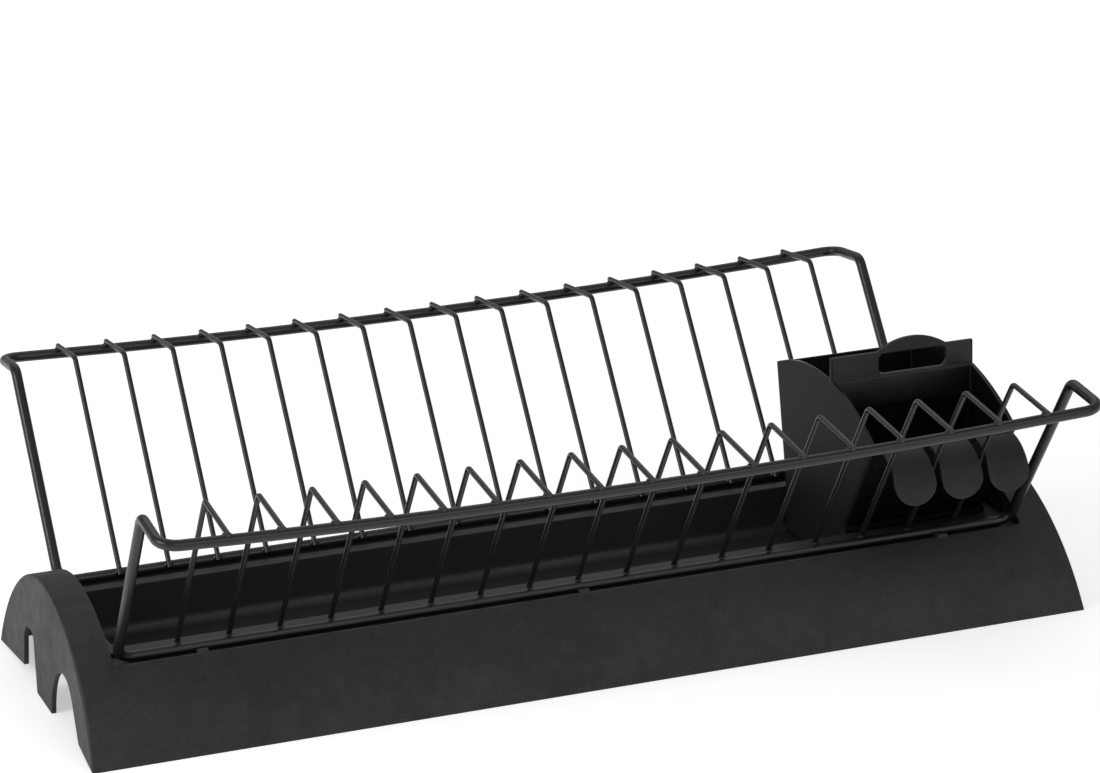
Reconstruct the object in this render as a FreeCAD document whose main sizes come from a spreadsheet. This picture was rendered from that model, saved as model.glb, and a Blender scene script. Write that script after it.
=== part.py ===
import FreeCAD, Part
import math
import os
import Sketcher
from FreeCAD import Placement, Rotation, Vector

# Dish drainer: an arched base shell, a lift-out drip tray, two leaning wire racks and a cutlery holder.
# Millimetres. +X runs along the drainer, -Y is the front and +Z is up, from the middle of the floor.

# Driving dimensions
SIZES = {
    # Base shell
    "base_width": "189.2",
    "base_height": "59.5",
    "base_wall": "2.3",
    "end_band": "20.35",
    "end_draft": "3.6",
    "end_edge_round": "1.5",
    "opening_lip": "2.1",
    "ledge_thickness": "2.3",
    # Notches in the end walls
    "front_notch_inner": "14.5",
    "front_notch_crown": "39",
    "front_notch_height": "28",
    "front_notch_slope": "52",
    "front_notch_shoulder": "19",
    "front_foot_rise": "4",
    "back_notch_inner": "14.8",
    "back_notch_outer": "42",
    "back_notch_height": "27.2",
    "back_notch_slope": "72",
    "back_notch_inner_round": "5",
    "back_notch_outer_round": "9",
    "back_foot_rise": "4.8",
    # Clips beside the bottom rails
    "clip_spacing": "190",
    "clip_length": "5",
    "clip_height": "3",
    "clip_gap": "0.5",
    # Racks
    "frame_wire": "5.2",
    "thin_wire": "2.6",
    "wire_pitch": "25",
    "wire_count": "17",
    "rack_end_gap": "29.9",
    "bottom_rail_spread": "112.6",
    "rack_rise": "87.1",
    "rack_reach": "98.6",
    "rack_lean": "36.3",
    "step_drop": "6.1",
    "top_rail_bow": "5",
    "foot_bend": "8",
    "peak_bend": "7",
    "corner_bend": "9",
    "wire_bend": "4",
    "wire_foot": "2",
    "wire_tip_past": "2",
    "weld_sink": "0.35",
    "seat_gap": "0.3",
    "leg_gap": "0.5",
    "rail_side_gap": "4.3",
    # Drip tray
    "trough_depth": "24.3",
    "tray_wall": "1.8",
    "tray_rim_thickness": "2.1",
    "tray_rim_side": "7",
    "tray_rim_end": "4",
    "tray_side_gap": "4.1",
    "tray_end_gap": "1.5",
    "well_gap": "0.7",
    "tray_corner_round": "8",
    "tray_rim_round": "3",
    "tray_floor_round": "5",
    # Cutlery holder
    "holder_length": "77.6",
    "holder_end_gap": "1.8",
    "holder_wall": "1.8",
    "holder_floor": "2",
    "holder_edge_round": "4",
    "holder_foot_gap": "1.5",
    "holder_flare_gap": "3",
    "holder_front_rise": "52.4",
    "holder_front_setback": "19.8",
    "holder_back_rise": "64.2",
    "holder_back_inset": "8.3",
    "holder_peak_rise": "73.4",
    "rim_fall_radius": "130",
    "divider_front": "25",
    "divider_bend_rise": "58.9",
    "divider_thickness": "3.6",
    "grip_thickness": "2",
    "grip_rise": "12.4",
    "grip_crest": "6",
    "grip_crest_width": "38",
    "grip_shift": "5.5",
    "grip_slot_width": "37",
    "grip_slot_height": "10.4",
    "grip_slot_rise": "0.8",
    "grip_slot_round": "3",
    "tongue_gap": "0.4",
    "tongue_top_width": "20",
    "tongue_reach": "19.2",
    "tongue_thickness": "2.2",
    "tongue_drop": "24",
    "drain_slot_length": "22",
    "drain_slot_width": "3",
    "drain_slot_pitch": "9",
    "drain_slot_count": "7",
}

# Sizes that follow from the driving dimensions
DERIVED = {
    # Base shell
    "arch_radius": "(base_width ^ 2 / 4 + base_height ^ 2) / (2 * base_height)",
    "arch_sunk": "arch_radius - base_height",
    "rail_y": "bottom_rail_spread / 2",
    "half_rack": "(wire_count - 1) / 2 * wire_pitch + rack_end_gap",
    "opening_length": "2 * (half_rack + frame_wire / 2 + leg_gap)",
    "opening_width": "2 * (rail_y + frame_wire / 2 + rail_side_gap)",
    "base_length": "opening_length + 2 * end_band",
    "ledge_top": "sqrt(arch_radius ^ 2 - opening_width ^ 2 / 4) - arch_sunk - opening_lip",
    "inner_half_width": "sqrt((arch_radius - base_wall) ^ 2 - arch_sunk ^ 2)",
    "end_wall_at_floor": "base_wall / cos(end_draft * 1 deg)",
    # Notches
    "front_crown_round": "front_notch_crown - front_notch_inner",
    "shoulder_end": "front_notch_crown + front_notch_shoulder * sin(front_notch_slope * 1 deg)",
    "shoulder_height": "front_notch_height - front_notch_shoulder * (1 - cos(front_notch_slope * 1 deg))",
    "front_foot_edge": "shoulder_end + (shoulder_height - front_foot_rise) / tan(front_notch_slope * 1 deg)",
    "back_corner": "back_notch_inner + back_notch_height / tan(back_notch_slope * 1 deg)",
    "back_turn": "back_notch_inner_round * tan(back_notch_slope / 2 * 1 deg)",
    # Racks
    "rail_z": "ledge_top + seat_gap + frame_wire / 2",
    "top_y": "rail_y + rack_reach",
    "top_z": "rail_z + rack_rise",
    "fold": "90 - rack_lean + step_drop",
    "frame_leg": "(rack_rise + rack_reach * tan(step_drop * 1 deg))"
                 " / (cos(rack_lean * 1 deg) + sin(rack_lean * 1 deg) * tan(step_drop * 1 deg))",
    "bow_angle": "2 * atan(top_rail_bow / half_rack) / 1 deg",
    "bow_radius": "half_rack / sin(bow_angle * 1 deg)",
    "weld_offset": "(frame_wire + thin_wire) / 2 - weld_sink",
    "wire_corner": "weld_offset * tan(fold / 2 * 1 deg)",
    "wire_turn": "wire_bend * tan(fold / 2 * 1 deg)",
    "wire_leg": "wire_foot + frame_leg + wire_corner",
    "wire_run": "(rack_reach - frame_leg * sin(rack_lean * 1 deg)) / cos(step_drop * 1 deg)"
                " + wire_corner + wire_tip_past",
    # Drip tray
    "rim_top": "ledge_top + tray_rim_thickness",
    "trough_floor_top": "rim_top - trough_depth",
    "tray_rim_length": "opening_length - 2 * tray_end_gap",
    "tray_rim_width": "bottom_rail_spread - frame_wire - 2 * thin_wire - 2 * tray_side_gap",
    "trough_length": "tray_rim_length - 2 * tray_rim_end",
    "trough_width": "tray_rim_width - 2 * tray_rim_side",
    "well_length": "trough_length + 2 * tray_wall + 2 * well_gap",
    "well_width": "trough_width + 2 * tray_wall + 2 * well_gap",
    # Cutlery holder
    "tongue_middle": "((wire_count - 1) / 2 - 0.5) * wire_pitch",
    "holder_middle": "trough_length / 2 - holder_end_gap - holder_length / 2",
    "holder_bottom": "trough_floor_top + seat_gap",
    "holder_inside_bottom": "holder_bottom + holder_floor",
    "holder_foot_half": "trough_width / 2 - holder_foot_gap",
    "holder_foot_top": "rim_top + holder_flare_gap",
    "holder_front_top": "rail_z + holder_front_rise",
    "holder_front": "rail_y + holder_front_rise * tan(rack_lean * 1 deg) - holder_front_setback",
    "holder_back_top": "rail_z + holder_back_rise",
    "holder_back": "rail_y - holder_back_inset",
    "holder_peak": "rail_z + holder_peak_rise",
    "divider_back": "divider_front - divider_thickness",
    "divider_bend": "rail_z + divider_bend_rise",
    "grip_top": "holder_peak + grip_rise",
    "grip_crest_radius": "(grip_crest_width ^ 2 / 4 + grip_crest ^ 2) / (2 * grip_crest)",
    "tongue_width": "wire_pitch - thin_wire - 2 * tongue_gap",
    "tongue_root": "holder_front - holder_wall",
    "tongue_tip": "holder_front_top - tongue_drop",
}

doc = FreeCAD.newDocument("dish_drainer")
sheet = doc.addObject("Spreadsheet::Sheet", "Sizes")
formulas = {alias: f"={formula}" for alias, formula in DERIVED.items()}
for row, (alias, text) in enumerate({**SIZES, **formulas}.items(), 1):
    sheet.set(f"A{row}", alias)
    sheet.set(f"B{row}", text)
    sheet.setAlias(f"B{row}", alias)
doc.recompute()


def size(expression):
    """The number that an expression of sheet cells gives."""
    return float(sheet.evalExpression(str(expression)))


# Helpers for sketches and primitives

LEAN = "Sizes.rack_lean * 1 deg"
LEAN_RADIANS = "Sizes.rack_lean * pi / 180"
TINY = 0.01
HALF_ROUND = "half round"


def origin_plane(body, role):
    """One of a body's own origin planes."""
    return next(plane for plane in body.Origin.OriginFeatures if plane.Role == role)


def add_body(name):
    """An empty body with a label of its own."""
    body = doc.addObject("PartDesign::Body", name)
    body.Label = name
    return body


def add_sketch(body, name, role, lift=None):
    """A sketch on one of a body's origin planes, moved along the plane's normal by lift."""
    sketch = body.newObject("Sketcher::SketchObject", name)
    sketch.AttachmentSupport = [(origin_plane(body, role), "")]
    sketch.MapMode = "FlatFace"
    if lift is not None:
        sketch.setExpression("AttachmentOffset.Base.z", str(lift))
    return sketch


def bind(sketch, kind, *place_and_expression):
    """A dimensional constraint whose value follows an expression."""
    *place, expression = place_and_expression
    index = sketch.addConstraint(Sketcher.Constraint(kind, *place, size(expression)))
    sketch.setExpression(f"Constraints[{index}]", str(expression))


def arc_between(start, end, radius):
    """The arc of a circle from start to end, turning left when radius is positive."""
    chord = end - start
    half = chord.Length / 2
    offset = math.sqrt(max(radius * radius - half * half, 0))
    left = Vector(-chord.y, chord.x, 0).normalize()
    centre = (start + end) * 0.5 + left * math.copysign(offset, radius)
    first, last = (start, end) if radius > 0 else (end, start)
    angles = [math.atan2(point.y - centre.y, point.x - centre.x) for point in (first, last)]
    circle = Part.Circle(centre, Vector(0, 0, 1), abs(radius))
    return Part.ArcOfCircle(circle, angles[0], angles[1])


def draw(sketch, corners, closed=True):
    """Lines and arcs through corners, given as (across, up) or, where an arc ends, (across, up, radius)."""
    points = [Vector(size(corner[0]), size(corner[1]), 0) for corner in corners]
    targets = list(range(1, len(corners))) + ([0] if closed else [])
    ends = []
    for target in targets:
        start, end = points[target - 1], points[target]
        if corners[target][2:] == (HALF_ROUND,):
            edge = sketch.addGeometry(arc_between(start, end, (end - start).Length / 2), False)
            in_line = "Vertical" if abs(end.x - start.x) < TINY else "Horizontal"
            sketch.addConstraint(Sketcher.Constraint(in_line, edge, 3, edge, 1))
            ends.append((edge, 1, 2))
        elif len(corners[target]) == 3:
            radius = size(corners[target][2])
            edge = sketch.addGeometry(arc_between(start, end, radius), False)
            bind(sketch, "Radius", edge, corners[target][2].lstrip("-"))
            ends.append((edge, 1, 2) if radius > 0 else (edge, 2, 1))
        else:
            edge = sketch.addGeometry(Part.LineSegment(start, end), False)
            ends.append((edge, 1, 2))
    for (edge, _, last), (following, first, _) in zip(ends, ends[1:] + (ends[:1] if closed else [])):
        sketch.addConstraint(Sketcher.Constraint("Coincident", edge, last, following, first))
    vertices = [(edge, first) for edge, first, _ in ends]
    if not closed:
        vertices.append((ends[-1][0], ends[-1][2]))
    for (edge, end), corner in zip(vertices, corners):
        bind(sketch, "DistanceX", edge, end, corner[0])
        bind(sketch, "DistanceY", edge, end, corner[1])


def draw_rounded_rectangle(sketch, length, width, radius, across="0", up="0"):
    """A rectangle with round corners about the point (across, up)."""
    run, rise = f"({length}) / 2", f"({width}) / 2"
    left, right = f"{across} - {run}", f"{across} + {run}"
    bottom, top = f"{up} - {rise}", f"{up} + {rise}"
    draw(sketch, [
        (f"{left} + ({radius})", bottom, radius),
        (f"{right} - ({radius})", bottom),
        (right, f"{bottom} + ({radius})", radius),
        (right, f"{top} - ({radius})"),
        (f"{right} - ({radius})", top, radius),
        (f"{left} + ({radius})", top),
        (left, f"{top} - ({radius})", radius),
        (left, f"{bottom} + ({radius})"),
    ])


def pad(body, sketch, length, both_ways=False, reverse=False):
    """A pad of a sketch."""
    feature = body.newObject("PartDesign::Pad", f"{sketch.Name}_pad")
    feature.Profile = sketch
    feature.setExpression("Length", str(length))
    feature.Midplane = both_ways
    feature.Reversed = reverse
    doc.recompute()
    return feature


def pocket(body, sketch, length, both_ways=False, reverse=False):
    """A pocket of a sketch, which has to take something away."""
    before = body.Shape.Volume
    feature = body.newObject("PartDesign::Pocket", f"{sketch.Name}_pocket")
    feature.Profile = sketch
    feature.setExpression("Length", str(length))
    feature.Midplane = both_ways
    feature.Reversed = reverse
    doc.recompute()
    if not body.Shape.Volume < before:
        raise RuntimeError(f"{feature.Name} cuts nothing")
    return feature


def edges_where(shape, test):
    """The names of a shape's edges that pass a test."""
    return [f"Edge{index}" for index, edge in enumerate(shape.Edges, 1) if test(edge)]


def fillet(body, base, edges, radius):
    """A fillet on named edges of a body's last feature."""
    feature = body.newObject("PartDesign::Fillet", f"{base.Name}_fillet")
    feature.Base = (base, edges)
    feature.setExpression("Radius", radius)
    doc.recompute()
    return feature


def add_box(name, length, width, height, across, along, up):
    """A box with its sizes and low corner bound to expressions."""
    box = doc.addObject("Part::Box", name)
    for prop, expression in (("Length", length), ("Width", width), ("Height", height),
                             ("Placement.Base.x", across), ("Placement.Base.y", along),
                             ("Placement.Base.z", up)):
        box.setExpression(prop, expression)
    return box


def cut(name, base, tool):
    """One solid less another."""
    result = doc.addObject("Part::Cut", name)
    result.Base, result.Tool = base, tool
    result.Label = name
    return result


def add_free_sketch(name, turn):
    """A sketch outside any body, turned from the XY plane."""
    sketch = doc.addObject("Sketcher::SketchObject", name)
    sketch.Placement = Placement(Vector(0, 0, 0), turn)
    return sketch


def draw_slot(sketch, across, up, width, length):
    """A slot with round ends, standing upright in the sketch."""
    run, half = f"(({length} - {width}) / 2)", f"({width} / 2)"
    draw(sketch, [
        (f"{across} + {half}", f"{up} - {run}", HALF_ROUND),
        (f"{across} + {half}", f"{up} + {run}"),
        (f"{across} - {half}", f"{up} + {run}", HALF_ROUND),
        (f"{across} - {half}", f"{up} - {run}"),
    ])


def extrude(name, sketch, length):
    """A solid drawn out of a free sketch, the same way to both sides."""
    result = doc.addObject("Part::Extrusion", name)
    result.Base = sketch
    result.DirMode = "Normal"
    result.Solid = True
    result.Symmetric = True
    result.setExpression("LengthFwd", length)
    return result


def fuse(name, solids):
    """Several solids as one."""
    result = doc.addObject("Part::MultiFuse", name)
    result.Shapes = solids
    result.Label = name
    return result


# Base shell: the outer form of a mould less its core, then the opening, the tray's well and the notches

def arch_form(name, inset, end_inset):
    """A drafted half-round prism, inset from the outer face of the base."""
    body = add_body(name)
    sketch = add_sketch(body, f"{name}_section", "YZ_Plane")
    radius, sunk = size(f"Sizes.arch_radius - {inset}"), size("Sizes.arch_sunk")
    lift = math.asin(sunk / radius)
    circle = Part.Circle(Vector(0, -sunk, 0), Vector(0, 0, 1), radius)
    arc = sketch.addGeometry(Part.ArcOfCircle(circle, lift, math.pi - lift), False)
    reach = radius * math.cos(lift)
    floor = sketch.addGeometry(Part.LineSegment(Vector(-reach, 0, 0), Vector(reach, 0, 0)), False)
    sketch.addConstraint(Sketcher.Constraint("Coincident", arc, 2, floor, 1))
    sketch.addConstraint(Sketcher.Constraint("Coincident", floor, 2, arc, 1))
    sketch.addConstraint(Sketcher.Constraint("PointOnObject", arc, 3, -2))
    sketch.addConstraint(Sketcher.Constraint("PointOnObject", floor, 1, -1))
    sketch.addConstraint(Sketcher.Constraint("PointOnObject", floor, 2, -1))
    bind(sketch, "Radius", arc, f"Sizes.arch_radius - {inset}")
    bind(sketch, "DistanceY", arc, 3, "-Sizes.arch_sunk")
    pad(body, sketch, f"Sizes.base_length - 2 * {end_inset}", both_ways=True)
    wedges = add_sketch(body, f"{name}_end_draft", "XZ_Plane")
    end, over = f"(Sizes.base_length / 2 - {end_inset})", "(2 * Sizes.base_height)"
    beyond, drafted = f"(1.1 * {end})", f"({end} - {over} * tan(Sizes.end_draft * 1 deg))"
    draw(wedges, [(end, "0"), (beyond, "0"), (beyond, over), (drafted, over)])
    draw(wedges, [(f"-{end}", "0"), (f"-{drafted}", over), (f"-{beyond}", over), (f"-{beyond}", "0")])
    drafted_form = pocket(body, wedges, "2 * Sizes.base_width", both_ways=True)
    return body, drafted_form


def opening_box(name, margin, low):
    """A box over the whole opening, wider by margin all round, from low upwards."""
    length, width = f"(Sizes.opening_length + 2 * {margin})", f"(Sizes.opening_width + 2 * {margin})"
    return add_box(name, length, width, "Sizes.base_height", f"-{length} / 2", f"-{width} / 2", low)


outer_form, drafted_outer_form = arch_form("base_outer_form", "0", "0")
end_arcs = edges_where(drafted_outer_form.Shape, lambda edge: edge.Curve.TypeId != "Part::GeomLine")
fillet(outer_form, drafted_outer_form, end_arcs, "Sizes.end_edge_round")
core_form, _ = arch_form("base_core_form", "Sizes.base_wall", "Sizes.end_wall_at_floor")

# The walls of the opening and its ledge stay where the core is cut back
jacket = opening_box("opening_jacket", "Sizes.base_wall", "Sizes.ledge_top - Sizes.ledge_thickness")
core = cut("base_core", core_form, jacket)
hollow_shell = cut("base_hollow", outer_form, core)
recess = opening_box("opening_recess", "0", "Sizes.ledge_top")
open_shell = cut("base_open", hollow_shell, recess)

# The tray's trough hangs through the ledge
well_low = "Sizes.ledge_top - 2 * Sizes.ledge_thickness"
well = add_box("tray_well", "Sizes.well_length", "Sizes.well_width", "Sizes.base_height",
               "-Sizes.well_length / 2", "-Sizes.well_width / 2", well_low)
welled_shell = cut("base_welled", open_shell, well)

# The end walls stand on three feet: the notches are cut through both ends at once
notch_outline = add_free_sketch("notch_outline", Rotation(Vector(1, 1, 1), 120))
draw(notch_outline, [
    ("-Sizes.front_notch_inner", "0"),
    ("-Sizes.front_notch_inner", "Sizes.front_notch_height - Sizes.front_crown_round"),
    ("-Sizes.front_notch_crown", "Sizes.front_notch_height", "Sizes.front_crown_round"),
    ("-Sizes.shoulder_end", "Sizes.shoulder_height", "Sizes.front_notch_shoulder"),
    ("-Sizes.front_foot_edge", "Sizes.front_foot_rise"),
    ("-Sizes.inner_half_width", "0"),
])
draw(notch_outline, [
    ("Sizes.back_notch_inner", "0"),
    ("Sizes.inner_half_width", "0"),
    ("Sizes.back_notch_outer", "Sizes.back_foot_rise"),
    ("Sizes.back_notch_outer", "Sizes.back_notch_height - Sizes.back_notch_outer_round"),
    ("Sizes.back_notch_outer - Sizes.back_notch_outer_round", "Sizes.back_notch_height",
     "Sizes.back_notch_outer_round"),
    ("Sizes.back_corner + Sizes.back_turn", "Sizes.back_notch_height"),
    ("Sizes.back_corner - Sizes.back_turn * cos(Sizes.back_notch_slope * 1 deg)",
     "Sizes.back_notch_height - Sizes.back_turn * sin(Sizes.back_notch_slope * 1 deg)",
     "Sizes.back_notch_inner_round"),
])
notch_tool = extrude("notch_tool", notch_outline, "1.1 * Sizes.base_length")
notched_shell = cut("base_notched", welled_shell, notch_tool)


def clip(name, turn, place):
    """A low clip between a bottom rail and the opening's wall, sloped to clear a rack that is drawn out."""
    body = add_body(name)
    sketch = add_sketch(body, f"{name}_section", "YZ_Plane")
    clearance = "(Sizes.frame_wire / 2 + Sizes.clip_gap)"
    below = f"(Sizes.rail_z - {clearance} * sin({LEAN}) - Sizes.ledge_top)"
    foot = f"(Sizes.rail_y + {clearance} * cos({LEAN}) - {below} * tan({LEAN}))"
    outside = "-(Sizes.opening_width / 2 + Sizes.base_wall / 2)"
    buried = "Sizes.ledge_top - Sizes.ledge_thickness / 2"
    draw(sketch, [
        (outside, buried),
        (f"-{foot}", buried),
        (f"-{foot}", "Sizes.ledge_top"),
        (f"-({foot} + Sizes.clip_height * tan({LEAN}))", "Sizes.ledge_top + Sizes.clip_height"),
        ("-Sizes.opening_width / 2", "Sizes.ledge_top + Sizes.clip_height"),
        (outside, "Sizes.ledge_top"),
    ])
    pad(body, sketch, "Sizes.clip_length", both_ways=True)
    body.Placement = Placement(Vector(size(place), 0, 0), Rotation(Vector(0, 0, 1), turn))
    return body


clips = [clip(f"{side}_clip_{index}", turn, f"({index} - 2) * Sizes.clip_spacing")
         for side, turn in (("front", 0), ("back", 180)) for index in (1, 2, 3)]
base_shell = fuse("base_shell", [notched_shell] + clips)

# Drip tray: a trough with a rim that lies on the ledge between the racks

drip_tray = add_body("drip_tray")
trough = add_sketch(drip_tray, "trough", "XY_Plane", "Sizes.trough_floor_top - Sizes.tray_wall")
trough_outside = "Sizes.trough_length + 2 * Sizes.tray_wall", "Sizes.trough_width + 2 * Sizes.tray_wall"
draw_rounded_rectangle(trough, *trough_outside, "Sizes.tray_corner_round + Sizes.tray_wall")
pad(drip_tray, trough, "Sizes.trough_depth + Sizes.tray_wall")
rim = add_sketch(drip_tray, "tray_rim", "XY_Plane", "Sizes.rim_top")
draw_rounded_rectangle(rim, "Sizes.tray_rim_length", "Sizes.tray_rim_width", "Sizes.tray_rim_round")
pad(drip_tray, rim, "Sizes.tray_rim_thickness", reverse=True)
basin = add_sketch(drip_tray, "basin", "XY_Plane", "Sizes.rim_top")
draw_rounded_rectangle(basin, "Sizes.trough_length", "Sizes.trough_width", "Sizes.tray_corner_round")
basin_pocket = pocket(drip_tray, basin, "Sizes.trough_depth")


def on_basin_floor(edge):
    """True for the edges round the basin's floor."""
    box = edge.BoundBox
    return box.ZLength < TINY and abs(box.ZMax - size("Sizes.trough_floor_top")) < TINY


fillet(drip_tray, basin_pocket, edges_where(basin_pocket.Shape, on_basin_floor), "Sizes.tray_floor_round")

# Racks: a closed loop of thick wire with thin bent wires welded to it, the back one turned half round

def bend(before, corner, after, radius):
    """The start, middle and end of an arc that rounds a corner."""
    back, ahead = (before - corner).normalize(), (after - corner).normalize()
    half = back.getAngle(ahead) / 2
    middle = (back + ahead).normalize()
    centre = corner + middle * (radius / math.sin(half))
    run = radius / math.tan(half)
    return corner + back * run, centre - middle * radius, corner + ahead * run


def rack_frame(name):
    """The loop of thick wire: a half swept from the middle of the bottom rail to the top, and mirrored."""
    half, lean, slope = size("Sizes.half_rack"), size(LEAN_RADIANS), size("Sizes.bow_angle * pi / 180")
    start = Vector(0, -size("Sizes.rail_y"), size("Sizes.rail_z"))
    foot = start + Vector(half, 0, 0)
    peak = foot + Vector(0, -math.sin(lean), math.cos(lean)) * size("Sizes.frame_leg")
    corner = Vector(half, -size("Sizes.top_y"), size("Sizes.top_z"))
    along_rail = corner - Vector(math.cos(slope), 0, math.sin(slope)) * half
    foot_arc = bend(start, foot, peak, size("Sizes.foot_bend"))
    peak_arc = bend(foot, peak, corner, size("Sizes.peak_bend"))
    corner_arc = bend(peak, corner, along_rail, size("Sizes.corner_bend"))
    rail_start = corner_arc[2]
    rail_end = Vector(0, rail_start.y, rail_start.z - rail_start.x * math.tan(slope / 2))
    bow_radius = rail_start.x / math.sin(slope)
    sideways, upwards = math.sin(slope / 2), 1 - math.cos(slope / 2)
    rail_middle = rail_end + Vector(sideways, 0, upwards) * bow_radius
    path = Part.Wire([
        Part.LineSegment(start, foot_arc[0]).toShape(),
        Part.Arc(*foot_arc).toShape(),
        Part.LineSegment(foot_arc[2], peak_arc[0]).toShape(),
        Part.Arc(*peak_arc).toShape(),
        Part.LineSegment(peak_arc[2], corner_arc[0]).toShape(),
        Part.Arc(*corner_arc).toShape(),
        Part.Arc(rail_start, rail_middle, rail_end).toShape(),
    ])
    section = Part.Wire([Part.Circle(start, Vector(1, 0, 0), size("Sizes.frame_wire / 2")).toShape()])
    half_loop = path.makePipeShell([section], True, False)
    frame = doc.addObject("Part::Feature", name)
    frame.Shape = half_loop.fuse(half_loop.mirror(Vector(0, 0, 0), Vector(1, 0, 0))).removeSplitter()
    frame.Label = name
    return frame


def thin_wire(name, across):
    """A thin wire: a leg inside the frame's plane, a bend at the peak and a short run onto the top rail."""
    body = add_body(name)
    sag = f"(Sizes.top_rail_bow - Sizes.bow_radius + sqrt(Sizes.bow_radius ^ 2 - ({across}) ^ 2))"
    fold = "Sizes.fold * 1 deg"
    leg = f"(Sizes.wire_leg - {sag} * cos(Sizes.step_drop * 1 deg) / sin({fold}) - Sizes.wire_turn)"
    run = f"(Sizes.wire_run + {sag} * sin({LEAN}) / sin({fold}) - Sizes.wire_turn)"
    bend_across, bend_up = f"Sizes.wire_bend * (1 - cos({fold}))", f"({leg} + Sizes.wire_bend * sin({fold}))"
    path = add_sketch(body, f"{name}_path", "YZ_Plane")
    draw(path, [
        ("0", "0"),
        ("0", leg),
        (f"-({bend_across})", bend_up, "Sizes.wire_bend"),
        (f"-({bend_across} + {run} * sin({fold}))", f"{bend_up} + {run} * cos({fold})"),
    ], closed=False)
    section = add_sketch(body, f"{name}_section", "XY_Plane")
    outline = Part.Circle(Vector(0, 0, 0), Vector(0, 0, 1), size("Sizes.thin_wire / 2"))
    circle = section.addGeometry(outline, False)
    section.addConstraint(Sketcher.Constraint("Coincident", circle, 3, -1, 1))
    bind(section, "Radius", circle, "Sizes.thin_wire / 2")
    pipe = body.newObject("PartDesign::AdditivePipe", f"{name}_pipe")
    pipe.Profile = section
    pipe.Spine = path
    foot_y = f"Sizes.rail_y - Sizes.weld_offset * cos({LEAN}) - Sizes.wire_foot * sin({LEAN})"
    foot_z = f"Sizes.rail_z + Sizes.weld_offset * sin({LEAN}) - Sizes.wire_foot * cos({LEAN})"
    foot = Vector(size(across), -size(foot_y), size(foot_z))
    body.Placement = Placement(foot, Rotation(Vector(1, 0, 0), size("Sizes.rack_lean")))
    return body


def rack(side, turn):
    """A whole rack, turned about the middle of the drainer."""
    pieces = [rack_frame(f"{side}_rack_frame")]
    count = round(size("Sizes.wire_count"))
    for index in range(count):
        across = f"({index} - (Sizes.wire_count - 1) / 2) * Sizes.wire_pitch"
        pieces.append(thin_wire(f"{side}_wire_{index + 1:02d}", across))
    half_round = Placement(Vector(0, 0, 0), Rotation(Vector(0, 0, 1), turn))
    for piece in pieces:
        piece.Placement = half_round.multiply(piece.Placement)
    return pieces


front_rack = rack("front", 0)
back_rack = rack("back", 180)

# Cutlery holder: one moulding that stands in the tray and hooks over the front rack

cutlery_holder = add_body("cutlery_holder")
side_view = add_sketch(cutlery_holder, "holder_side_view", "YZ_Plane")
draw(side_view, [
    ("-Sizes.holder_foot_half", "Sizes.holder_bottom"),
    ("Sizes.holder_foot_half", "Sizes.holder_bottom"),
    ("Sizes.holder_foot_half", "Sizes.holder_foot_top"),
    ("Sizes.holder_back", "Sizes.holder_back_top"),
    ("-Sizes.divider_back", "Sizes.holder_peak", "Sizes.rim_fall_radius"),
    ("-Sizes.divider_front", "Sizes.holder_peak"),
    ("-Sizes.holder_front", "Sizes.holder_front_top", "Sizes.rim_fall_radius"),
    ("-Sizes.holder_foot_half", "Sizes.holder_foot_top"),
])
block = pad(cutlery_holder, side_view, "Sizes.holder_length", both_ways=True)


def below_the_rim(edge):
    """True for the edges round the bottom and the ones that stand on its corners."""
    box = edge.BoundBox
    on_bottom = box.ZMax < size("Sizes.holder_bottom") + TINY
    return on_bottom or (box.ZLength > TINY and box.ZMin < size("Sizes.holder_foot_top") + TINY)


fillet(cutlery_holder, block, edges_where(block.Shape, below_the_rim), "Sizes.holder_edge_round")


def compartment(name, sign, reach, top, divider_foot, divider_top):
    """The space between an outer wall and the divider, open at the top."""
    sketch = add_sketch(cutlery_holder, name, "YZ_Plane")
    foot = "(Sizes.holder_foot_half - Sizes.holder_wall)"
    over = "(2 * Sizes.holder_peak)"
    lean_out = f"(({reach} - Sizes.holder_foot_half) / ({top} - Sizes.holder_foot_top))"
    draw(sketch, [
        (f"{sign}{divider_foot}", "Sizes.holder_inside_bottom"),
        (f"{sign}{foot}", "Sizes.holder_inside_bottom"),
        (f"{sign}{foot}", "Sizes.holder_foot_top"),
        (f"{sign}({foot} + {lean_out} * ({over} - Sizes.holder_foot_top))", over),
        (f"{sign}{divider_top}", over),
        (f"{sign}{divider_top}", "Sizes.divider_bend"),
    ])
    pocket(cutlery_holder, sketch, "Sizes.holder_length - 2 * Sizes.holder_wall", both_ways=True)


compartment("front_compartment", "-", "Sizes.holder_front", "Sizes.holder_front_top",
            "Sizes.divider_thickness / 2", "Sizes.divider_front")
compartment("back_compartment", "", "Sizes.holder_back", "Sizes.holder_back_top",
            "Sizes.divider_thickness / 2", "(-Sizes.divider_back)")

# The divider ends in a thinner grip with an arched crest over a finger slot
grip = add_sketch(cutlery_holder, "grip", "XZ_Plane", "Sizes.divider_back")
draw(grip, [
    ("-Sizes.holder_length / 2", "Sizes.holder_peak - Sizes.grip_thickness"),
    ("Sizes.holder_length / 2", "Sizes.holder_peak - Sizes.grip_thickness"),
    ("Sizes.holder_length / 2", "Sizes.grip_top"),
    ("Sizes.grip_shift + Sizes.grip_crest_width / 2", "Sizes.grip_top"),
    ("Sizes.grip_shift - Sizes.grip_crest_width / 2", "Sizes.grip_top", "Sizes.grip_crest_radius"),
    ("-Sizes.holder_length / 2", "Sizes.grip_top"),
])
pad(cutlery_holder, grip, "Sizes.grip_thickness")
finger_slot = add_sketch(cutlery_holder, "finger_slot", "XZ_Plane", "Sizes.divider_back")
slot_size = "Sizes.grip_slot_width", "Sizes.grip_slot_height"
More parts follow.
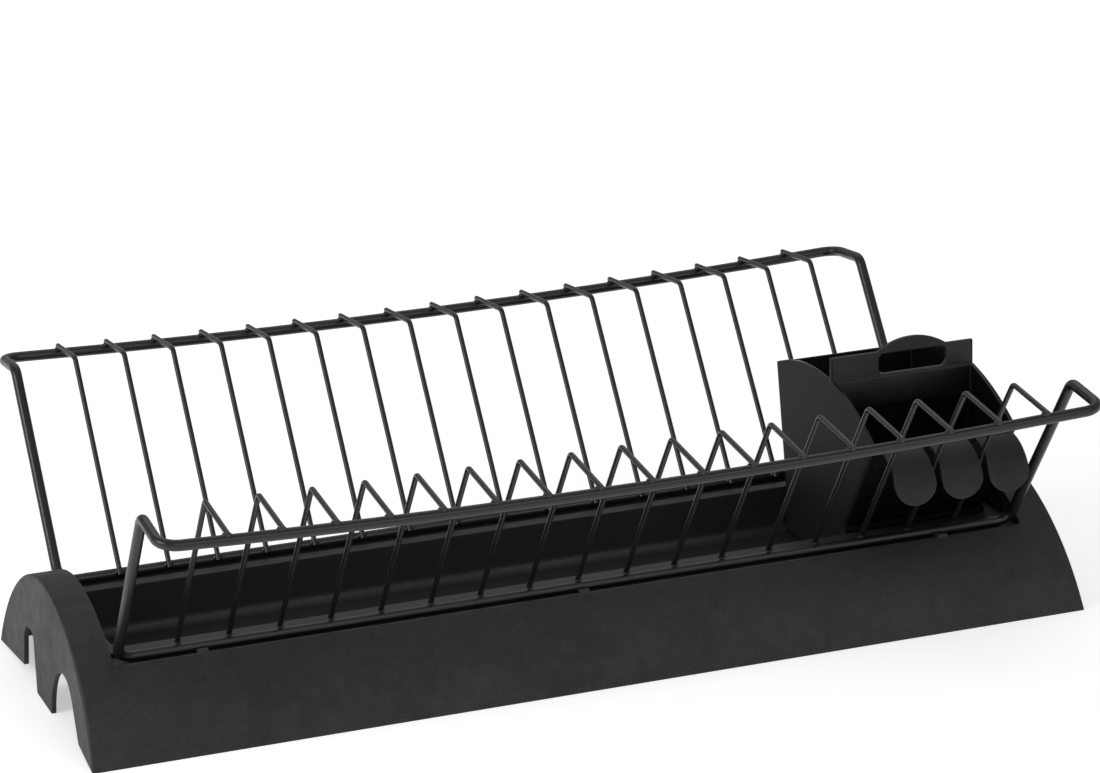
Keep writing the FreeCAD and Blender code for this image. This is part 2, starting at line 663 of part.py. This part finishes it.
draw_rounded_rectangle(finger_slot, *slot_size, "Sizes.grip_slot_round", "Sizes.grip_shift",
                       "Sizes.holder_peak + Sizes.grip_slot_rise + Sizes.grip_slot_height / 2")
pocket(cutlery_holder, finger_slot, "3 * Sizes.grip_thickness", both_ways=True)

# Rows of slots let the water out of both compartments
slots = add_sketch(cutlery_holder, "drain_slots", "XY_Plane", "Sizes.holder_bottom")
for index in range(round(size("Sizes.drain_slot_count"))):
    across = f"({index} - (Sizes.drain_slot_count - 1) / 2) * Sizes.drain_slot_pitch"
    for side in ("-", ""):
        middle = f"{side}(Sizes.holder_foot_half + Sizes.divider_thickness / 2) / 2"
        draw_slot(slots, across, middle, "Sizes.drain_slot_width", "Sizes.drain_slot_length")
pocket(cutlery_holder, slots, "3 * Sizes.holder_floor", both_ways=True)
cutlery_holder.setExpression("Placement.Base.x", "Sizes.holder_middle")

# Three tongues curl out over the front wall and hang between the wires


def tongue(name, place):
    """One tongue: a curled strip with its outline trimmed, less what lies inside the front wall."""
    strip = add_body(f"{name}_strip")
    side_view = add_sketch(strip, f"{name}_side_view", "YZ_Plane")
    outer_reach = "(Sizes.tongue_root + Sizes.tongue_reach)"
    inner_reach = "(Sizes.tongue_root + Sizes.tongue_reach - Sizes.tongue_thickness)"
    draw(side_view, [
        ("-Sizes.tongue_root", "Sizes.holder_front_top"),
        (f"-{outer_reach}", "Sizes.holder_front_top - Sizes.tongue_reach", "Sizes.tongue_reach"),
        (f"-{outer_reach}", "Sizes.tongue_tip"),
        (f"-{inner_reach}", "Sizes.tongue_tip"),
        (f"-{inner_reach}", "Sizes.holder_front_top - Sizes.tongue_reach"),
        ("-Sizes.tongue_root", "Sizes.holder_front_top - Sizes.tongue_thickness",
         "-(Sizes.tongue_reach - Sizes.tongue_thickness)"),
    ])
    pad(strip, side_view, "Sizes.wire_pitch", both_ways=True)
    outline = add_free_sketch(f"{name}_outline", Rotation(Vector(1, 0, 0), 90))
    draw(outline, [
        ("-Sizes.tongue_top_width / 2", "Sizes.holder_peak"),
        ("-Sizes.tongue_top_width / 2", "Sizes.holder_front_top"),
        ("-Sizes.tongue_width / 2", "Sizes.tongue_tip + Sizes.tongue_width / 2"),
        ("Sizes.tongue_width / 2", "Sizes.tongue_tip + Sizes.tongue_width / 2", HALF_ROUND),
        ("Sizes.tongue_top_width / 2", "Sizes.holder_front_top"),
        ("Sizes.tongue_top_width / 2", "Sizes.holder_peak"),
    ])
    for piece in (strip, outline):
        piece.setExpression("Placement.Base.x", f"Sizes.tongue_middle + {place} * Sizes.wire_pitch")
    trimmed = doc.addObject("Part::Common", f"{name}_trimmed")
    trimmed.Base, trimmed.Tool = strip, extrude(f"{name}_prism", outline, "4 * Sizes.holder_front")
    return cut(name, trimmed, cutlery_holder)


tongues = [tongue(f"tongue_{index}", index - 2) for index in (1, 2, 3)]

# Every feature has to be sound before anything is written

doc.recompute()
subparts = [base_shell, drip_tray, cutlery_holder] + tongues + front_rack + back_rack
for item in doc.Objects:
    if {"Invalid", "Error"} & set(item.State):
        raise RuntimeError(f"{item.Label} failed: {item.State}")
for subpart in subparts:
    shape = subpart.Shape
    if shape.isNull() or not shape.isValid():
        raise RuntimeError(f"{subpart.Label} has no valid shape")

os.makedirs("parts", exist_ok=True)
for subpart in subparts:
    subpart.Shape.exportStep(f"parts/{subpart.Label}.step")
    print(subpart.Label, len(subpart.Shape.Solids), "solid", round(subpart.Shape.Volume, 1), "mm3")
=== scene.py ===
# %% [markdown]
# # A dish drainer in black plastic and coated wire
# The drainer is a low arched base, a lift-out drip tray, two wire racks that lean outwards and a cutlery
# holder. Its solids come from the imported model, already at their real size and place. This script gives
# them their surfaces, adds the welds that the solids leave out, and sets up the studio. That could all be
# done by hand in Blender's windows, but a script can be run again on a changed model. Everything is in
# metres. +X runs along the drainer, -Y is its front and +Z is up.

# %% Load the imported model
import math

import bmesh
import bpy
from mathutils import Matrix, Vector


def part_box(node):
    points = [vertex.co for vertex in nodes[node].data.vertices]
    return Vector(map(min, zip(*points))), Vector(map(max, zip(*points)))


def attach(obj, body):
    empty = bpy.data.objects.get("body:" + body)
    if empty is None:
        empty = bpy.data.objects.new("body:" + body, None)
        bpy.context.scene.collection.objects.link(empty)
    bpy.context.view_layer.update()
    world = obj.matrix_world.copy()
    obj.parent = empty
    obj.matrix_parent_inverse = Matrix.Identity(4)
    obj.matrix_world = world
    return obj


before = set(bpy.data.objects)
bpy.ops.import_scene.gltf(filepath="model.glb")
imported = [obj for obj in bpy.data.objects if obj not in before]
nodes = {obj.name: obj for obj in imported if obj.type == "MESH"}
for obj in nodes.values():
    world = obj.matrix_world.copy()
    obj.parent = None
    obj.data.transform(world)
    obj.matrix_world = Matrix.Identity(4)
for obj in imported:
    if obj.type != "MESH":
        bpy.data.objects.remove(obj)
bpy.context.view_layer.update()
MM = 0.001

# %% [markdown]
# ## Colours and shader nodes in plain words
# A colour is easiest to read as the hex value that a picture editor shows, but a shader works with linear
# light, so one function turns the first into the second. Another adds a shader node, fills in its settings
# and plugs in its inputs. The nodes could be wired by hand in the shader editor instead, but as code each
# material below reads as a short list of what it is made of, beside the sizes that it needs.

# %% Helpers for colours and nodes


def linear(hex_colour):
    """An sRGB hex colour as linear RGBA, by the curve that the sRGB standard gives."""
    channels = [int(hex_colour[i:i + 2], 16) / 255 for i in (1, 3, 5)]
    return [c / 12.92 if c <= 0.04045 else ((c + 0.055) / 1.055) ** 2.4 for c in channels] + [1.0]


def add(tree, kind, settings=None, **inputs):
    """Adds a node with its settings. An input is a plain value, or the socket that feeds it."""
    node = tree.nodes.new(kind)
    for name, value in (settings or {}).items():
        setattr(node, name, value)
    for name, value in inputs.items():
        socket = node.inputs[int(name[1:])] if name[1:].isdigit() else node.inputs[name.replace("_", " ")]
        if isinstance(value, bpy.types.NodeSocket):
            tree.links.new(value, socket)
        else:
            socket.default_value = value
    return node


def new_material(name):
    """An empty material with its output node."""
    material = bpy.data.materials.new(name)
    material.use_nodes = True
    material.node_tree.nodes.clear()
    output = add(material.node_tree, "ShaderNodeOutputMaterial")
    return material, material.node_tree, output


print("mid grey #808080 is", round(linear("#808080")[0], 3), "in linear light")

# %% [markdown]
# ## Edges with a painted highlight and a little wear
# No moulded edge is sharp, and a real one shows as a thin light line. Every edge of the solids could get a
# true rounding, but one too small to see as a shape would only cost faces. A Bevel node turns the shading
# round instead, within a small radius of each edge. Where that rounded normal departs from the true one
# there is an edge, and there the black is painted paler: a painted highlight along it, with a little wear.

# %% Painted edge highlight and wear
EDGE_RADIUS = 1.0 * MM
BEVEL_SAMPLES = 6
# the paler colour at the edges: a painted highlight, with a little wear
EDGE_SHEEN_AND_WEAR = "#4b4947"
EDGE_SHEEN_AND_WEAR_SHARE = 0.75
FULL_SHEEN_AND_WEAR, NO_SHEEN_AND_WEAR = 0.80, 0.99  # cosine of the angle between the rounded normal and the true one


def edge_sheen_and_wear(tree, colour):
    """The normal rounded at each edge, and the colour painted paler there: a painted highlight, with a little
    wear.
    """
    rounded = add(tree, "ShaderNodeBevel", {"samples": BEVEL_SAMPLES}, Radius=EDGE_RADIUS).outputs[0]
    facing = add(tree, "ShaderNodeNewGeometry").outputs["Normal"]
    turned = add(tree, "ShaderNodeVectorMath", {"operation": "DOT_PRODUCT"}, _0=rounded, _1=facing)
    # the edges are painted paler: a painted highlight, with a little wear
    sheen_and_wear = add(tree, "ShaderNodeMapRange", Value=turned.outputs["Value"], From_Min=FULL_SHEEN_AND_WEAR,
                 From_Max=NO_SHEEN_AND_WEAR, To_Min=EDGE_SHEEN_AND_WEAR_SHARE, To_Max=0.0).outputs[0]
    sheened_and_worn = add(tree, "ShaderNodeMix", {"data_type": "RGBA"}, _0=sheen_and_wear, _6=colour, _7=linear(EDGE_SHEEN_AND_WEAR))
    return rounded, sheened_and_worn.outputs[2]


print("edges look rounded within", round(EDGE_RADIUS / MM, 1), "mm")

# %% [markdown]
# ## Moulded black polypropylene
# The base is injection-moulded polypropylene, coloured black right through. Its mould was spark-eroded,
# which leaves a fine even grain that scatters light: the surface looks satin rather than shiny and never
# shows a sharp reflection. Pigment and flow vary a little over a long moulding, so there are broad soft
# clouds with a finer mottle in them. One flat dark colour would look like a cut-out, and a photographed
# texture would stretch over the arch. Noise in the piece's own coordinates keeps its size everywhere: the
# grain is a bump and a speckle, and the clouds and the mottle together drive the colour and the roughness.

# %% The polypropylene
# Each pattern is the size of its blobs, its detail in octaves and how ragged they are.
# Real spark erosion is about 0.1 mm, too fine to show from a step away, so its grain is drawn coarser.
GRAIN = 0.9 * MM, 3.0, 0.60
MOTTLE = 8 * MM, 4.0, 0.65
CLOUD = 60 * MM, 3.0, 0.55
NOISE_LOW, NOISE_HIGH = 0.3, 0.7  # a noise seldom leaves this range
PATCHES_LOW, PATCHES_HIGH = 0.76, 1.24  # and the sum of two seldom leaves this one
ROUGHNESS_DRIFT = 0.06
GRAIN_STRENGTH = 0.6


def moulded_polypropylene(name, dark, light, rough, ior, grain_height, speckle, seed, ends=None):
    """Black polypropylene from a mould. The seed shifts its patterns. ends is (middle, reach, rough): past
    reach from middle along X, the ends of the piece have the mould's eroded texture, which is rougher."""
    material, tree, output = new_material(name)
    place = add(tree, "ShaderNodeTexCoord").outputs["Object"]
    moved = add(tree, "ShaderNodeVectorMath", {"operation": "ADD"}, _0=place, _1=seed).outputs[0]
    grain, mottle, cloud = [
        add(tree, "ShaderNodeTexNoise", Vector=moved, Scale=1 / blob, Detail=octaves,
            Roughness=ragged).outputs[0]
        for blob, octaves, ragged in (GRAIN, MOTTLE, CLOUD)]
    patches = add(tree, "ShaderNodeMath", {"operation": "ADD"}, _0=mottle, _1=cloud).outputs[0]
    tone = add(tree, "ShaderNodeMapRange", Value=patches, From_Min=PATCHES_LOW,
               From_Max=PATCHES_HIGH).outputs[0]
    pigment = add(tree, "ShaderNodeMix", {"data_type": "RGBA"}, _0=tone, _6=linear(dark), _7=linear(light))
    shade = add(tree, "ShaderNodeMapRange", Value=grain, From_Min=NOISE_LOW, From_Max=NOISE_HIGH,
                To_Min=1 - speckle, To_Max=1 + speckle).outputs[0]
    speckled = add(tree, "ShaderNodeVectorMath", {"operation": "SCALE"}, _0=pigment.outputs[2], Scale=shade)
    # the edges are painted paler: a painted highlight, with a little wear
    rounded, sheened_and_worn = edge_sheen_and_wear(tree, speckled.outputs[0])
    roughness = add(tree, "ShaderNodeMapRange", Value=tone, To_Min=rough + ROUGHNESS_DRIFT,
                    To_Max=rough - ROUGHNESS_DRIFT).outputs[0]
    if ends:
        middle, reach, end_rough = ends
        x = add(tree, "ShaderNodeSeparateXYZ", _0=place).outputs["X"]
        between = add(tree, "ShaderNodeMath", {"operation": "COMPARE"}, _0=x, _1=middle, _2=reach).outputs[0]
        roughness = add(tree, "ShaderNodeMix", Factor=between, _2=end_rough, _3=roughness).outputs[0]
    bump = add(tree, "ShaderNodeBump", Strength=GRAIN_STRENGTH, Distance=grain_height, Height=grain,
               Normal=rounded)
    surface = add(tree, "ShaderNodeBsdfPrincipled", Base_Color=sheened_and_worn, Normal=bump.outputs[0], IOR=ior,
                  Roughness=roughness)
    tree.links.new(surface.outputs[0], output.inputs["Surface"])
    return material


SHELL = moulded_polypropylene("spark_eroded_polypropylene", dark="#1c1b1b", light="#262524", rough=0.60,
                              ior=1.49, grain_height=0.16 * MM, speckle=0.42, seed=(0.0, 0.0, 0.0))
print("made", SHELL.name)

# %% [markdown]
# ## The smoother mouldings
# The tray and the holder come from other moulds with less grain. The tray is satin and slightly warm, the
# tongues are nearly as matt as the shell, and the holder's walls are polished: a polished black wall mirrors
# the other dark walls and scatters little light of its own. The holder is also painted a darker black than
# its tongues, as painted shade for the shade that falls inside it. Its two ends are textured again. Each
# could be a material of its own kind, but they are one plastic, so the same function makes them all. The IOR
# of polypropylene is 1.49. Lower ones are matched to these pieces, which mirror less than the shell does.

# %% Tray, tongues and holder
HOLDER_WALL = 1.8 * MM
HOLDER_END_ROUGHNESS = 0.68

TRAY = moulded_polypropylene("satin_polypropylene_tray", dark="#211d1e", light="#262223", rough=0.50,
                             ior=1.45, grain_height=0.03 * MM, speckle=0.12, seed=(3.1, 0.4, 1.2))
TONGUE = moulded_polypropylene("spark_eroded_polypropylene_tongue", dark="#151515", light="#1c1c1b",
                               rough=0.58, ior=1.42, grain_height=0.12 * MM, speckle=0.35,
                               seed=(1.7, 5.2, 0.3))

holder_low, holder_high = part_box("cutlery_holder")
holder_middle = (holder_low[0] + holder_high[0]) / 2
between_the_ends = (holder_high[0] - holder_low[0] - HOLDER_WALL) / 2
# the holder's black, darker than its tongues', is painted shade for the shade inside it
HOLDER = moulded_polypropylene("satin_polypropylene_holder", dark="#0b0b0b", light="#101010", rough=0.26,
                               ior=1.38, grain_height=0.015 * MM, speckle=0.25, seed=(1.7, 5.2, 0.3),
                               ends=(holder_middle, between_the_ends, HOLDER_END_ROUGHNESS))
print("made", TRAY.name, TONGUE.name, HOLDER.name)

# %% [markdown]
# ## Powder-coated wire
# The racks are drawn steel wire, resistance-welded and then dipped in a cloud of black epoxy powder that
# melts into one skin. The skin is smooth to the touch but not flat: it has a slight orange peel, a
# millimetre or two from bump to bump, which breaks a long highlight along the wire into a soft shimmer. The
# wires could be a dark metal, but no bare steel shows. The skin is a dielectric paint, so metallic stays at
# 0 and the gloss comes from roughness alone.

# %% The racks' powder coat
PEEL = 1.6 * MM, 2.0, 0.45
DRIFT = 30 * MM, 2.0, 0.50  # slow changes in how thick the coat is
PEEL_HEIGHT = 0.05 * MM
PEEL_STRENGTH = 0.3
EPOXY_IOR = 1.52


def powder_coat(name, dark, light, smoothest, roughest):
    """A black epoxy powder coat with its orange peel."""
    material, tree, output = new_material(name)
    place = add(tree, "ShaderNodeTexCoord").outputs["Object"]
    peel, drift = [
        add(tree, "ShaderNodeTexNoise", Vector=place, Scale=1 / blob, Detail=octaves,
            Roughness=ragged).outputs[0]
        for blob, octaves, ragged in (PEEL, DRIFT)]
    thickness = add(tree, "ShaderNodeMapRange", Value=drift, From_Min=NOISE_LOW,
                    From_Max=NOISE_HIGH).outputs[0]
    colour = add(tree, "ShaderNodeMix", {"data_type": "RGBA"}, _0=thickness, _6=linear(dark),
                 _7=linear(light)).outputs[2]
    roughness = add(tree, "ShaderNodeMapRange", Value=thickness, To_Min=smoothest, To_Max=roughest).outputs[0]
    bump = add(tree, "ShaderNodeBump", Strength=PEEL_STRENGTH, Distance=PEEL_HEIGHT, Height=peel).outputs[0]
    surface = add(tree, "ShaderNodeBsdfPrincipled", Base_Color=colour, Normal=bump, IOR=EPOXY_IOR,
                  Roughness=roughness)
    tree.links.new(surface.outputs[0], output.inputs["Surface"])
    return material


COAT = powder_coat("black_epoxy_powder_coat", "#101010", "#171717", smoothest=0.31, roughest=0.38)
print("made", COAT.name)

# %% [markdown]
# ## Give each solid its surface
# The nodes keep their meshes. A curved face arrives as small flat facets. A Smooth by Angle modifier would
# also hide them, but marking the edges once is simpler: the faces are shaded smooth where they meet at a
# shallow angle and stay crisp at real edges. Every node that isn't a moulding is wire.

# %% Dress the nodes
SMOOTH_UNDER = math.radians(32)
FINISHES = {"base_shell": SHELL, "drip_tray": TRAY, "cutlery_holder": HOLDER}
FINISHES.update({name: TONGUE for name in nodes if name.startswith("tongue")})


def dress(node, material):
    """Puts one material on a node and smooths its shading between facets."""
    node.data.materials.clear()
    node.data.materials.append(material)
    node.data.shade_smooth()
    node.data.set_sharp_from_angle(angle=SMOOTH_UNDER)


for name, node in nodes.items():
    dress(node, FINISHES.get(name, COAT))
print("dressed", len(nodes), "nodes,", len(nodes) - len(FINISHES), "of them in powder coat")

# %% [markdown]
# ## Weld nuggets
# Each thin wire is pressed onto the thick one while a current melts the touching spot. A little metal
# squeezes out on both sides and freezes, and the powder coat rounds it off, so a wire never meets a rail at
# a bare line. A fillet would need the two wires joined into one solid, and no two real nuggets have a
# fillet's even shape. So each nugget is a small flattened ball that lies across the joint. Two directions
# place it: the one away from the rail and the one along the thin wire.

# %% One nugget
NUGGET = Vector((2.5, 2.1, 1.35)) * MM  # half its length on the rail, on the thin wire and away from both
NUGGET_SINK = 0.25 * MM
NUGGET_SUBDIVISIONS = 2


def add_nugget(mesh, place, away, along):
    """One weld nugget at the surface point place, with away pointing out of the rail."""
    across = along.cross(away)
    turn = Matrix((across, along, away)).transposed().to_4x4()
    made = bmesh.ops.create_icosphere(mesh, subdivisions=NUGGET_SUBDIVISIONS, radius=1.0)
    shape = Matrix.Translation(place - away * NUGGET_SINK) @ turn @ Matrix.Diagonal((*NUGGET, 1.0))
    bmesh.ops.transform(mesh, matrix=shape, verts=made["verts"])


print("a nugget is", [round(2 * half / MM, 1) for half in NUGGET], "mm")

# %% [markdown]
# ## Where the wires meet the rails
# Every thin wire is welded twice, to the straight bottom rail and to the bowed top rail. The places could
# be worked out from the bow's radius, but the rail is there already: dropping a ray on it just inside the
# wire's tip finds its height at each wire. All the nuggets of one rack are one piece, which moves with that
# rack.

# %% The welds of both racks
FRAME_WIRE = 5.2 * MM
TIP_PAST = 2.5 * MM  # from the top rail's middle to a thin wire's end
STEP_DROP = math.radians(6.1)  # how far a thin wire's end tips down over the top rail
LEAN = math.radians(36.3)  # of a rack, from upright
RAY_HEIGHT = 1.0  # well above the racks


def weld_places(side, outward):
    """Each weld's place on one rack, its direction away from the rail and the one along the thin wire."""
    rail = nodes[f"{side}_rack_frame"]
    low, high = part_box(f"{side}_rack_frame")
    bottom_y = outward * (min(abs(low[1]), abs(high[1])) + FRAME_WIRE / 2)
    bottom_z = low[2] + FRAME_WIRE / 2
    inward_up = Vector((0, -outward * math.cos(LEAN), math.sin(LEAN)))
    up_the_leg = Vector((0, outward * math.sin(LEAN), math.cos(LEAN)))
    off_the_top = Vector((0, outward * math.sin(STEP_DROP), math.cos(STEP_DROP)))
    down_the_step = Vector((0, outward * math.cos(STEP_DROP), -math.sin(STEP_DROP)))
    places = []
    for wire in sorted(name for name in nodes if name.startswith(f"{side}_wire")):
        wire_low, wire_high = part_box(wire)
        x = (wire_low[0] + wire_high[0]) / 2
        tip_y = outward * max(abs(wire_low[1]), abs(wire_high[1]))
        above = Vector((x, tip_y - outward * TIP_PAST, RAY_HEIGHT))
        hit, top, _, _ = rail.ray_cast(above, Vector((0, 0, -1)))
        if not hit:
            raise RuntimeError(f"no rail under {wire}")
        bottom = Vector((x, bottom_y, bottom_z)) + inward_up * FRAME_WIRE / 2
        places += [(top, off_the_top, down_the_step), (bottom, inward_up, up_the_leg)]
    return places


def rack_welds(side, outward):
    """One rack's nuggets, at its top and bottom rail. outward is -1 for the front and 1 for the back."""
    mesh = bmesh.new()
    places = weld_places(side, outward)
    for place in places:
        add_nugget(mesh, *place)
    data = bpy.data.meshes.new(f"{side}_rack_welds")
    mesh.to_mesh(data)
    mesh.free()
    data.shade_smooth()
    data.materials.append(COAT)
    welds = bpy.data.objects.new(f"{side}_rack_welds", data)
    bpy.context.scene.collection.objects.link(welds)
    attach(welds, f"{side}_rack")
    print(f"{side} rack: {len(places)} weld nuggets")


rack_welds("front", -1)
rack_welds("back", 1)

# %% [markdown]
# ## The floor
# The drainer stands on a wide plain floor, as in a catalogue picture. More lamps would make the floor
# white, and the drainer grey with it. So the floor glows a little instead, to the camera and in reflections
# but not as a light: it reaches white and still keeps the soft shadow under the shell. The glow grows with
# the distance from the drainer, where less of the lamps' light arrives.

# %% Floor
FLOOR_SIZE = 12.0
FLOOR_PAINT = "#f2f2f2"
FLOOR_ROUGHNESS = 0.9
WHITE = (1, 1, 1, 1)
GLOW_FROM, GLOW_TO = 0.4, 2.2  # metres from the drainer
GLOW_NEAR, GLOW_FAR = 0.5, 0.85
STEP_DOWN = 0.05 * MM  # the floor lies a hair below the feet, so that no two faces coincide


def pale_floor():
    """A wide plain floor in pale matt paint, which glows a little so that it reaches white."""
    material, tree, output = new_material("matt_white_floor_paint")
    place = add(tree, "ShaderNodeTexCoord").outputs["Object"]
    away = add(tree, "ShaderNodeVectorMath", {"operation": "LENGTH"}, _0=place).outputs["Value"]
    glow = add(tree, "ShaderNodeMapRange", Value=away, From_Min=GLOW_FROM, From_Max=GLOW_TO,
               To_Min=GLOW_NEAR, To_Max=GLOW_FAR).outputs[0]
    rays = add(tree, "ShaderNodeLightPath").outputs
    seen = add(tree, "ShaderNodeMath", {"operation": "MAXIMUM"}, _0=rays["Is Camera Ray"],
               _1=rays["Is Glossy Ray"]).outputs[0]
    strength = add(tree, "ShaderNodeMath", {"operation": "MULTIPLY"}, _0=glow, _1=seen).outputs[0]
    surface = add(tree, "ShaderNodeBsdfPrincipled", Base_Color=linear(FLOOR_PAINT),
                  Roughness=FLOOR_ROUGHNESS, Emission_Color=WHITE, Emission_Strength=strength)
    tree.links.new(surface.outputs[0], output.inputs["Surface"])
    bpy.ops.mesh.primitive_plane_add(size=FLOOR_SIZE, location=(0, 0, -STEP_DOWN))
    floor = bpy.context.object
    floor.name = "floor"
    floor.data.materials.append(material)
    return floor


floor = pale_floor()
print("floor, m:", [round(side, 1) for side in floor.dimensions])

# %% [markdown]
# ## The white room
# From a low angle the camera looks past the floor's edge and sees the world. A backdrop would do as well,
# but a plain white world has no fold and no edge. It is white to the camera alone. As a light and in
# reflections it is much dimmer, because a black surface that reflects white all round turns grey.

# %% World
ROOM_SEEN = 1.0
ROOM_LIGHT = 0.33


def white_room():
    """A world that is white to the camera and dimmer to every other ray."""
    world = bpy.data.worlds.new("white_room")
    bpy.context.scene.world = world
    world.use_nodes = True
    tree = world.node_tree
    tree.nodes.clear()
    rays = add(tree, "ShaderNodeLightPath").outputs
    strength = add(tree, "ShaderNodeMapRange", Value=rays["Is Camera Ray"], To_Min=ROOM_LIGHT,
                   To_Max=ROOM_SEEN).outputs[0]
    background = add(tree, "ShaderNodeBackground", Color=WHITE, Strength=strength)
    tree.links.new(background.outputs[0], add(tree, "ShaderNodeOutputWorld").inputs["Surface"])
    return world


print("world:", white_room().name)

# %% [markdown]
# ## The lamps
# Black plastic shows its form only by what it reflects. One strong lamp would leave a small hot spot, so
# every lamp is a wide soft box. The widest stands in front, about 30 degrees up: the arched shell mirrors
# it low on its flank and the rails along their front. Weaker lamps overhead and behind keep the upward
# faces and the back alive, and one from the left lifts the end wall.

# %% Lamps
LAMPS_AIM = Vector((0, 0, 0.05))
LAMPS = {  # place, width and height in metres, and power in watts
    "overhead_lamp": ((0.1, 0.0, 1.5), 1.6, 1.0, 1.0),
    "left_lamp": ((-1.6, -0.15, 0.95), 0.9, 0.7, 10),
    "front_lamp": ((0.2, -1.8, 1.2), 2.2, 0.9, 9),
    "back_lamp": ((0.3, 1.3, 1.5), 1.6, 0.7, 3.5),
}


def soft_lamp(name, place, width, height, power):
    """A rectangular soft box at place that looks at the drainer."""
    light = bpy.data.lights.new(name, "AREA")
    light.shape, light.size, light.size_y, light.energy = "RECTANGLE", width, height, power
    lamp = bpy.data.objects.new(name, light)
    bpy.context.scene.collection.objects.link(lamp)
    lamp.location = place
    lamp.rotation_euler = (LAMPS_AIM - Vector(place)).to_track_quat("-Z", "Y").to_euler()


for name, lamp in LAMPS.items():
    soft_lamp(name, *lamp)
print("lamps:", ", ".join(LAMPS))

# %% [markdown]
# ## The camera
# The photograph was taken with a long lens from the front left, a little above the rails, so the far end
# looks only slightly smaller than the near one. The camera could be placed by eye. The angles and the
# distance below are real ones instead, found by matching straight edges of the drainer with the same edges
# in the photograph.

# %% Camera
TURN, TILT, ROLL = 0.347, 0.305, -0.030  # radians: to the left of square on, above the horizon, leaning
TARGET = Vector((14.6, 1.9, 122.2)) * MM
DISTANCE = 1987.8 * MM
IMAGE_WIDTH, IMAGE_HEIGHT = 1100, 773  # pixels, as are the next two
FOCAL_PIXELS = 4050
CENTRE_X, CENTRE_Y = 561.1, 385.4
SENSOR = 36.0  # millimetres


def studio_camera():
    """A camera at the photograph's place, with the same lens and framing."""
    forward = Vector((math.sin(TURN) * math.cos(TILT), math.cos(TURN) * math.cos(TILT), -math.sin(TILT)))
    level = Vector((math.cos(TURN), -math.sin(TURN), 0))
    upright = level.cross(forward)
    right = level * math.cos(ROLL) + upright * math.sin(ROLL)
    up = upright * math.cos(ROLL) - level * math.sin(ROLL)
    data = bpy.data.cameras.new("studio_camera")
    data.sensor_width = SENSOR
    data.lens = SENSOR * FOCAL_PIXELS / IMAGE_WIDTH
    data.shift_x = (IMAGE_WIDTH / 2 - CENTRE_X) / IMAGE_WIDTH
    data.shift_y = (CENTRE_Y - IMAGE_HEIGHT / 2) / IMAGE_WIDTH
    camera = bpy.data.objects.new("studio_camera", data)
    bpy.context.scene.collection.objects.link(camera)
    place = TARGET - forward * DISTANCE
    camera.matrix_world = Matrix.Translation(place) @ Matrix((right, up, -forward)).transposed().to_4x4()
    bpy.context.scene.camera = camera
    return camera


camera = studio_camera()
bpy.context.scene.view_settings.view_transform = "Standard"
print("lens, mm:", round(camera.data.lens, 1))
